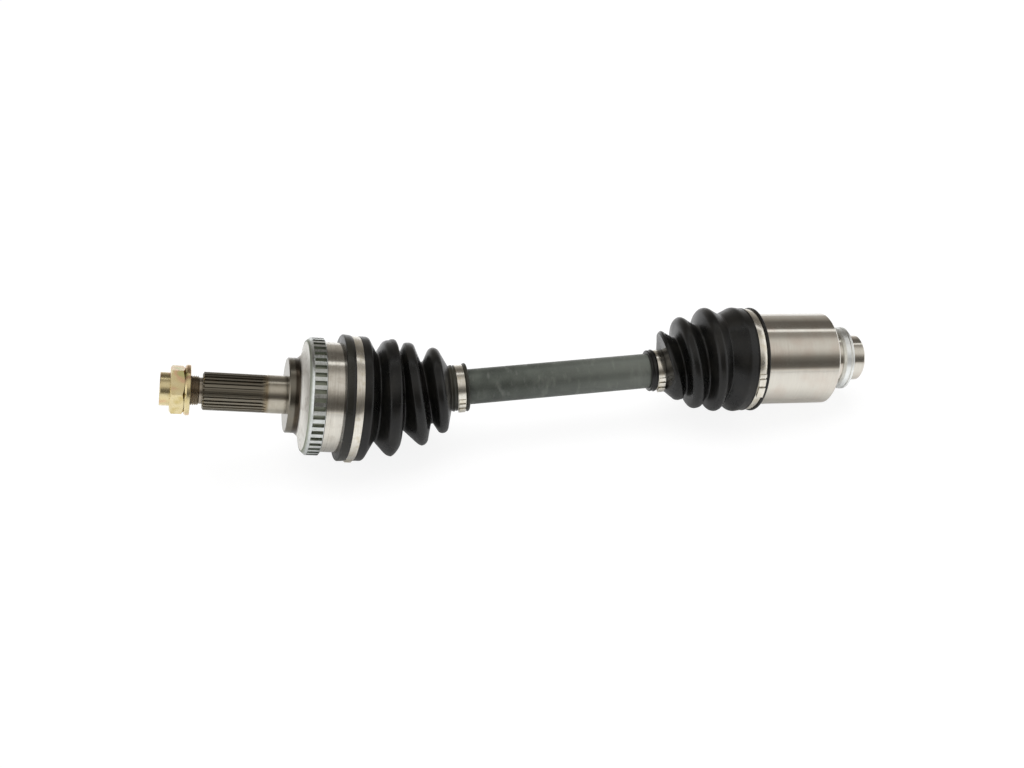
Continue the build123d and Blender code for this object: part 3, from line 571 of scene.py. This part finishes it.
# ---------------------------------------------------------------- boots
class AXLE_OT_outer_boot(Operator):
    """Moulds the boot of the outer joint, from the bell to the bar"""
    bl_idname = "axle.outer_boot"
    bl_label = "Outer boot"

    def execute(self, context):
        settings = context.scene.axle_boots
        lip, gap = settings.lip, settings.gap
        large = span_of("outer_boot_large_band", stub_axes)
        small = span_of("outer_boot_small_band", shaft_axes)
        edge, shoulder, back = 0.1 * MM, 5.3 * MM, 6.8 * MM
        neck, lip_end = 4.9 * MM, 2.8 * MM
        start_x = large[1] + edge + shoulder
        end_x = small[0] - edge - neck
        start = stub_axes @ Vector((start_x, 0, 0))
        end = shaft_axes @ Vector((end_x, 0, 0))
        bell = span_of("outer_joint_housing", stub_axes)[3] + gap
        bar = span_of("axle_shaft", shaft_axes)[3] + gap
        rim, seat = large[3] + settings.proud, large[2]
        x0, x1 = large[0] - edge - start_x, large[1] + edge - start_x
        lead = [(x0 - back, bell, 0.0), (x0 - back + lip, rim + 0.7 * MM, lip),
                (x0 - 2.0 * MM, rim + 0.5 * MM, 0.8 * MM), (x0, rim, 0.0), (x0, seat, 0.0), (x1, seat, 0.0),
                (x1, rim, 0.0), (-1.0 * MM, rim, 3.0 * MM)]
        small_rim, small_seat = small[3] + settings.proud, small[2]
        x2, x3 = small[0] - edge - end_x, small[1] + edge - end_x
        tail = [(0.8 * MM, small_rim - 0.4 * MM, -0.8 * MM),
                (x2 - 2.4 * MM, small_rim + 0.3 * MM, 0.5 * MM),
                (x2 - 1.2 * MM, small_rim - 0.4 * MM, -0.3 * MM), (x2, small_rim, 0.0),
                (x2, small_seat, 0.0), (x3, small_seat, 0.0), (x3, small_rim, 0.0),
                (x3 + lip_end - lip, small_rim + 0.9 * MM, lip), (x3 + lip_end, bar, 0.0)]
        folds = [(share, height * MM, rounding * MM, lean, lift * MM) for
                 share, height, rounding, lean, lift in (
                     (0.14, -8.8, -1.2, 0.17, 2.0), (0.31, 6.2, 6.2, 0.5, -0.7),
                     (0.445, -4.4, -1.2, 0.7, 4.0), (0.605, 10.3, 4.9, 1.35, -0.5),
                     (0.745, -1.2, -1.2, 1.6, -1.0), (0.87, 11.4, 4.4, 1.35, -0.5))]
        # the dust of the neck reaches this far above its rim
        dusty_neck = 4.0 * MM
        material = moulded_rubber("moulded_rubber_outer", settings.colour, (stub_axes, rim / MM),
                                  (shaft_axes, (small_rim + dusty_neck) / MM))
        boot = boot_shells(["outer_boot_rubber"], None,
                           ((start, stub_axes.col[0].xyz), (end, shaft_axes.col[0].xyz)), (rim, small_rim),
                           (bell, bar), folds, lead, tail, 0.0, settings, material)[0]
        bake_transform(boot)
        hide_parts("outer_boot")
        return {"FINISHED"}


class AXLE_OT_inner_boot(Operator):
    """Moulds the boot of the inner joint, from the bar to the cup"""
    bl_idname = "axle.inner_boot"
    bl_label = "Inner boot"

    def execute(self, context):
        settings = context.scene.axle_boots
        lip, gap = settings.lip, settings.gap
        small = span_of("inner_boot_small_band", shaft_axes)
        large = span_of("inner_boot_large_band", cup_axes)
        edge, shoulder, back = 0.1 * MM, 11.8 * MM, 5.2 * MM
        neck, lip_end, rise = 1.2 * MM, 2.4 * MM, 1.6 * MM
        start_x = small[1] + edge + neck
        end_x = large[0] - edge - shoulder
        start = shaft_axes @ Vector((start_x, 0, 0))
        end = cup_axes @ Vector((end_x, 0, 0))
        cup = span_of("inner_joint_housing", cup_axes)[3] + gap
        bar = span_of("axle_shaft", shaft_axes)[3] + gap
        small_rim, small_seat = small[3] + settings.proud, small[2]
        x0, x1 = small[0] - edge - start_x, small[1] + edge - start_x
        lead = [(x0 - back, bar, 0.0), (x0 - back + 1.0 * MM, small_rim, 1.0 * MM),
                (x0 - 2.8 * MM, small_rim - 0.4 * MM, -0.4 * MM),
                (x0 - 1.3 * MM, small_rim + 0.4 * MM, 0.8 * MM),
                (x0, small_rim - 0.2 * MM, 0.0), (x0, small_seat, 0.0), (x1, small_seat, 0.0),
                (x1, small_rim, 0.0)]
        rim, seat = large[3] + settings.proud, large[2]
        x2, x3 = large[0] - edge - end_x, large[1] + edge - end_x
        tail = [(4.5 * MM, rim + 0.5 * MM, 5.0 * MM), (x2 - 1.4 * MM, rim - 0.3 * MM, -1.0 * MM),
                (x2, rim, 0.0), (x2, seat, 0.0), (x3, seat, 0.0), (x3, rim, 0.0),
                (x3 + lip_end - lip, rim + 0.3 * MM, lip), (x3 + lip_end, cup, 0.0)]
        folds = [(share, height * MM, rounding * MM, lean, lift * MM) for
                 share, height, rounding, lean, lift in (
                     (0.115, 9.1, 3.2, -2.8, 3.2), (0.24, 1.1, -1.2, -1.6, 0.5),
                     (0.38, 11.0, 5.0, -1.6, 1.5), (0.555, 0.0, -1.2, -1.0, 0.0),
                     (0.71, 7.4, 4.3, -0.4, 0.7), (0.88, -3.5, -1.2, 0.3, 2.5))]
        # no fold of this boot stands out far enough to be dusty
        dust_height = 6.0 * MM
        material = moulded_rubber("moulded_rubber_inner", settings.colour,
                                  (cup_axes, (rim + dust_height) / MM), (shaft_axes, small_rim / MM))
        # on the real joint the folds bend and the cuff stretches as the cup slides;
        # the boot is made in two lengths, the folds and the cuff
        cut, overlap = 5.2 * MM, 0.6 * MM
        bar_end, cup_end = boot_shells(["inner_boot_folds", "inner_boot_cuff"], cut,
                                       ((start, shaft_axes.col[0].xyz), (end, cup_axes.col[0].xyz)),
                                       (small_rim, rim), (bar, cup), folds, lead, tail, rise, settings,
                                       material)
        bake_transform(bar_end)
        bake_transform(cup_end)
        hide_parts("inner_boot")
        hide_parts("inner_boot")
        return {"FINISHED"}


# ---------------------------------------------------------------- clamps
def strip_ring(name, axes, span, taper, settings, material):
    """Closed ring of strip with rounded edges; a taper lowers its outside towards its far edge."""
    x0, x1, inner, outer = span
    edge = settings.edge
    outline = rounded_line([(x0 + edge, inner, 0.0), (x0, inner + edge / 2, 0.0), (x0 + edge, outer, edge),
                            (x1 - edge, outer - taper, edge), (x1, inner + edge / 2, 0.0),
                            (x1 - edge, inner, 0.0)], 3)
    bm = spun(outline, settings.sides)
    bm.transform(axes)
    return finish_piece(name, bm, material)


def add_lug(bm, x_range, radii, angles, edge):
    """Adds a block with rounded edges, bent round the axis between two clock angles."""
    x0, x1 = x_range
    inner, outer = radii
    first, last = angles
    length = (last - first) * outer
    block = bmesh.new()
    bmesh.ops.create_cube(block, size=1.0)
    bmesh.ops.scale(block, verts=block.verts, vec=(x1 - x0, length, outer - inner))
    lengthwise = [e for e in block.edges if abs(e.verts[0].co.y - e.verts[1].co.y) > length / 2]
    bmesh.ops.subdivide_edges(block, edges=lengthwise, cuts=max(2, int(length / MM)),
                              use_grid_fill=True)
    corners = [e for e in block.edges if e.calc_face_angle() > radians(30)]
    bmesh.ops.bevel(block, geom=corners, offset=edge, segments=3, profile=0.5, affect="EDGES",
                    material=-1)
    for v in block.verts:
        turn = (first + last) / 2 + v.co.y / outer
        radius = (inner + outer) / 2 + v.co.z
        v.co = Vector(((x0 + x1) / 2 + v.co.x, radius * cos(turn), radius * sin(turn)))
    mesh = bpy.data.meshes.new("block")
    block.to_mesh(mesh)
    block.free()
    bm.from_mesh(mesh)
    bpy.data.meshes.remove(mesh)


class AXLE_OT_clamps(Operator):
    """Bends the four stainless clamps, their overlapping ends and their folded lugs"""
    bl_idname = "axle.clamps"
    bl_label = "Boot clamps"

    def execute(self, context):
        settings = context.scene.axle_clamps
        low_share = 0.42          # share of the folded lugs that the low block takes
        low_edge, high_edge = 0.3 * MM, 0.5 * MM
        places = (("outer_boot_large", stub_axes, "outer_housing", 0.0),
                  ("outer_boot_small", shaft_axes, "shaft", 0.0),
                  ("inner_boot_small", shaft_axes, "shaft", 0.0),
                  ("inner_boot_large", cup_axes, "inner_housing", 0.45 * MM))
        for name, axes, body, taper in places:
            material = brushed_strip(f"brushed_strip_{name}", settings.colour, axes)
            band = span_of(f"{name}_band", axes)
            ring = strip_ring(f"{name}_strip", axes, band, taper, settings, material)
            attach(ring, body)
            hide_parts(f"{name}_band")
            x0, x1, low, high = span_of(f"{name}_buckle", axes)
            first, last = clock_of(f"{name}_buckle", axes)
            slit = settings.slit / low
            overlap = settings.overlap / low
            middle = first + low_share * (last - first)
            bm = bmesh.new()
            add_lug(bm, (x0, x1), (low, low + settings.strip), (first - overlap, first), settings.edge)
            add_lug(bm, (x0, x1), (low, (low + high) / 2), (first + slit, middle), low_edge)
            add_lug(bm, (x0, x1), (low, high), (middle + slit / 2, last), high_edge)
            bmesh.ops.recalc_face_normals(bm, faces=bm.faces)
            bm.transform(axes)
            lugs = finish_piece(f"{name}_lugs", bm, material)
            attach(lugs, body)
            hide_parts(f"{name}_buckle")
        return {"FINISHED"}


# ---------------------------------------------------------------- metal
class AXLE_OT_outer_joint(Operator):
    """Finishes the outer joint housing, its speed ring, the nut and the washer"""
    bl_idname = "axle.outer_joint"
    bl_label = "Outer joint"

    def execute(self, context):
        metal = context.scene.axle_metal
        tip = span_of("abs_tone_ring", stub_axes)[3] / MM
        dress("outer_joint_housing", turned_housing_steel("turned_housing_steel", metal.steel))
        # a slot is rougher and painted darker as shade from 2.2 mm under the tips of the teeth,
        # and plain from 0.8 mm under them
        floors = (tip - 2.2, tip - 0.8)
        dress("abs_tone_ring", zinc_plate("zinc_plate_ring", metal.zinc, "#aab0a9", stub_axes,
                                          (0.16, 0.28), floors))
        plate = yellow_zinc_plate("yellow_zinc_plate", metal.yellow_zinc)
        dress("hub_nut", plate)
        dress("hub_nut_washer", plate)
        return {"FINISHED"}


class AXLE_OT_bar(Operator):
    """Finishes the bar"""
    bl_idname = "axle.bar"
    bl_label = "Bar"

    def execute(self, context):
        dress("axle_shaft", phosphated_bar("phosphated_bar", context.scene.axle_metal.phosphate))
        return {"FINISHED"}


class AXLE_OT_inner_joint(Operator):
    """Finishes the cup of the inner joint and its dust ring"""
    bl_idname = "axle.inner_joint"
    bl_label = "Inner joint"

    def execute(self, context):
        metal = context.scene.axle_metal
        dress("inner_joint_housing", ground_cup_steel("ground_cup_steel", metal.steel))
        dress("inner_dust_ring", zinc_plate("zinc_plate_dust_ring", metal.pale_zinc, "#dadedb",
                                            cup_axes, (0.3, 0.4)))
        return {"FINISHED"}


class AXLE_OT_inner_works(Operator):
    """Finishes the balls, cage, race, spider, rollers, needles and clips inside the joints"""
    bl_idname = "axle.inner_works"
    bl_label = "Inner works"

    def execute(self, context):
        finishes = {"hardened_steel": machined_steel("hardened_steel", "#8f8a84", "#5f584e", 0.3),
                    "bearing_steel": machined_steel("bearing_steel", "#cfcdca", "#a8a39b", 0.12),
                    "spring_steel": machined_steel("spring_steel", "#6b6861", "#45423c", 0.32)}
        for part in frame["record"]["subparts"]:
            if part["material_slot"] in finishes:
                dress(part["node"], finishes[part["material_slot"]])
        return {"FINISHED"}


# ---------------------------------------------------------------- stage
class AXLE_OT_stage(Operator):
    """Lays the floor, hangs the lamp and the tent, and sets the camera"""
    bl_idname = "axle.stage"
    bl_label = "Studio"

    def execute(self, context):
        stage = context.scene.axle_stage
        context.scene.view_settings.view_transform = "Standard"
        lay_floor(stage)
        hang_lamp(stage)
        hang_tent(stage)
        light_surroundings(stage)
        set_camera(stage)
        return {"FINISHED"}


def background_share(tree, camera, reflection, transmission):
    """How much of a bright background shows to the camera, in reflections and through clear material.
    It is 0 for the light that falls on things."""
    path = add_node(tree, "ShaderNodeLightPath").outputs
    share = 0.0
    for ray, part in (("Is Camera Ray", camera), ("Is Glossy Ray", reflection),
                      ("Is Transmission Ray", transmission)):
        level = add_node(tree, "ShaderNodeMath", {0: path[ray], 1: part}, operation="MULTIPLY")
        share = add_node(tree, "ShaderNodeMath", {0: share, 1: level}, operation="MAXIMUM")
    return share


def stage_object(name, bm, material):
    """An object that stands round the axle and isn't part of it."""
    mesh = bpy.data.meshes.new(name)
    bm.to_mesh(mesh)
    bm.free()
    mesh.materials.append(material)
    thing = bpy.data.objects.new(name, mesh)
    bpy.context.scene.collection.objects.link(thing)
    return thing


def lay_floor(stage):
    """White paper under the axle: the camera sees it nearly white with a faint shadow, and metal a little
    darker."""
    clear_level, clearance = 1.05, 1 * MM
    material = bpy.data.materials.new("white_paper")
    material.use_nodes = True
    tree = material.node_tree
    tree.nodes.clear()
    share = background_share(tree, camera=0.84, reflection=0.2, transmission=0.84)
    paper = add_node(tree, "ShaderNodeBsdfDiffuse", {"Color": tuple(stage.paper)})
    clear = add_node(tree, "ShaderNodeEmission", {"Strength": clear_level})
    both = add_node(tree, "ShaderNodeMixShader", {0: share, 1: paper, 2: clear})
    add_node(tree, "ShaderNodeOutputMaterial", {"Surface": both})
    bm = bmesh.new()
    bmesh.ops.create_grid(bm, x_segments=1, y_segments=1, size=stage.floor_side / 2)
    bmesh.ops.translate(bm, verts=bm.verts, vec=(*axle_middle, cad_bounds[0][2] - clearance))
    stage_object("floor", bm, material)


def hang_lamp(stage):
    """A wide soft lamp overhead and a little behind, turned to the middle of the axle."""
    data = bpy.data.lights.new("key", "AREA")
    data.shape = "RECTANGLE"
    data.size, data.size_y = 1.8, 1.4
    data.energy = stage.key
    lamp = bpy.data.objects.new("key", data)
    lamp.location = (0.1, 0.3, 1.5)
    ahead = Vector((*axle_middle, 0)) - lamp.location
    lamp.rotation_euler = ahead.to_track_quat("-Z", "Y").to_euler()
    lamp.visible_glossy = False
    bpy.context.scene.collection.objects.link(lamp)


def hang_reflector(name, ends, levels):
    """A sheet that only reflections see: a line between two points, swung from the front horizon over the
    top to the back. A level is an angle in degrees from the front horizon and the brightness there."""
    material = bpy.data.materials.new(name)
    material.use_nodes = True
    tree = material.node_tree
    tree.nodes.clear()
    place = add_node(tree, "ShaderNodeTexCoord").outputs["Object"]
    parts = add_node(tree, "ShaderNodeSeparateXYZ", {"Vector": place})
    front = add_node(tree, "ShaderNodeMath", {0: parts.outputs["Y"], 1: -1.0}, operation="MULTIPLY")
    angle = add_node(tree, "ShaderNodeMath", {0: parts.outputs["Z"], 1: front}, operation="ARCTAN2")
    share = add_node(tree, "ShaderNodeMath", {0: angle, 1: pi}, operation="DIVIDE")
    brightest = max(level for degrees, level in levels)
    stops = []
    for degrees, level in levels:
        tone = level / brightest
        # dim sheets are a little warmer
        stops.append((degrees / 180, (tone, tone * (0.93 + 0.07 * tone), tone * (0.84 + 0.16 * tone), 1)))
    ramp = add_node(tree, "ShaderNodeValToRGB", {"Fac": share}, stops=stops)
    glow = add_node(tree, "ShaderNodeEmission", {"Color": ramp, "Strength": brightest})
    add_node(tree, "ShaderNodeOutputMaterial", {"Surface": glow})
    bm = bmesh.new()
    line = [bm.verts.new(end) for end in ends]
    edge = bm.edges.new(line)
    bmesh.ops.spin(bm, geom=[*line, edge], cent=(0, 0, 0), axis=(-1, 0, 0), angle=pi, steps=64)
    sheet = stage_object(name, bm, material)
    sheet.visible_camera = False
    sheet.visible_diffuse = False
    sheet.visible_shadow = False


def hang_tent(stage):
    """A tent with a dark front, a soft bright roof, a thin bright strip and a dark back, and two bright
    ends."""
    radius, left, right = stage.tent, -1.2 * stage.tent, 1.03 * stage.tent
    roof = ((0, 0.9), (3, 0.75), (6, 0.3), (10, 0.14), (21, 0.115), (29, 0.165), (36, 0.25), (44, 0.5),
            (51, 0.67), (59, 0.76), (75, 0.72), (83, 0.63), (90, 0.42), (96, 0.33), (106, 0.32), (109, 1.2),
            (114, 1.2), (117, 0.2), (125, 0.16), (144, 0.15), (158, 0.32), (175, 0.5))
    behind = ((122, 0.5), (135, 0.15))
    hang_reflector("tent_roof", ((left, -radius, 0), (right, -radius, 0)), roof)
    hang_reflector("tent_left", ((left, 0, 0), (left, -radius, 0)), ((0, 1.3), (108, 1.25), *behind))
    hang_reflector("tent_right", ((right, 0, 0), (right, -radius, 0)), ((0, 1.2), (108, 1.1), *behind))


def light_surroundings(stage):
    """White all round to look at, and an even light on what stands there."""
    world = bpy.data.worlds.new("surroundings")
    world.use_nodes = True
    tree = world.node_tree
    tree.nodes.clear()
    seen = background_share(tree, camera=1.0, reflection=1.0, transmission=1.0)
    strength = add_node(tree, "ShaderNodeMapRange", {
        "Value": seen, "To Min": stage.surroundings, "To Max": 1.0})
    glow = add_node(tree, "ShaderNodeBackground", {"Color": (1, 1, 1, 1), "Strength": strength})
    add_node(tree, "ShaderNodeOutputWorld", {"Surface": glow})
    bpy.context.scene.world = world


def set_camera(stage):
    """A camera in front, above, and a little to the left of the middle."""
    data = bpy.data.cameras.new("camera")
    data.lens = stage.lens
    data.sensor_width = 36.0
    camera = bpy.data.objects.new("camera", data)
    place = Vector((18.45, -773.35, 576.68)) * MM
    ahead = Vector((0.1553, 0.7855, -0.5990)).normalized()
    above = Vector((0.1083, 0.5892, 0.8007))
    right = ahead.cross(above).normalized()
    turn = Matrix((right, right.cross(ahead), -ahead)).transposed().to_4x4()
    camera.matrix_world = Matrix.Translation(place) @ turn
    bpy.context.scene.collection.objects.link(camera)
    bpy.context.scene.camera = camera


# ---------------------------------------------------------------- panel
class AXLE_PT_panel(Panel):
    """Lists the steps that dress the axle"""
    bl_idname = "AXLE_PT_panel"
    bl_label = "Drive axle"
    bl_space_type = "VIEW_3D"
    bl_region_type = "UI"
    bl_category = "Axle"

    def draw(self, context):
        for step in steps:
            self.layout.operator(step.bl_idname)
        for name in settings_groups:
            group = getattr(context.scene, name)
            box = self.layout.box()
            for key in group.__annotations__:
                box.prop(group, key)


settings_groups = {"axle_boots": AxleBootSettings, "axle_clamps": AxleClampSettings,
                   "axle_metal": AxleMetalSettings, "axle_stage": AxleStageSettings}
steps = (AXLE_OT_outer_boot, AXLE_OT_inner_boot, AXLE_OT_clamps, AXLE_OT_outer_joint, AXLE_OT_bar,
         AXLE_OT_inner_joint, AXLE_OT_inner_works, AXLE_OT_stage)


def register():
    for cls in (*settings_groups.values(), *steps, AXLE_PT_panel):
        bpy.utils.register_class(cls)
    for name, group in settings_groups.items():
        setattr(bpy.types.Scene, name, PointerProperty(type=group))


def unregister():
    for name in settings_groups:
        delattr(bpy.types.Scene, name)
    for cls in (AXLE_PT_panel, *reversed(steps), *settings_groups.values()):
        bpy.utils.unregister_class(cls)


def main():
    register()
    bpy.ops.axle.outer_boot()
    bpy.ops.axle.inner_boot()
    bpy.ops.axle.clamps()
    bpy.ops.axle.outer_joint()
    bpy.ops.axle.bar()
    bpy.ops.axle.inner_joint()
    bpy.ops.axle.inner_works()
    bpy.ops.axle.stage()


if __name__ == "__main__":
    main()
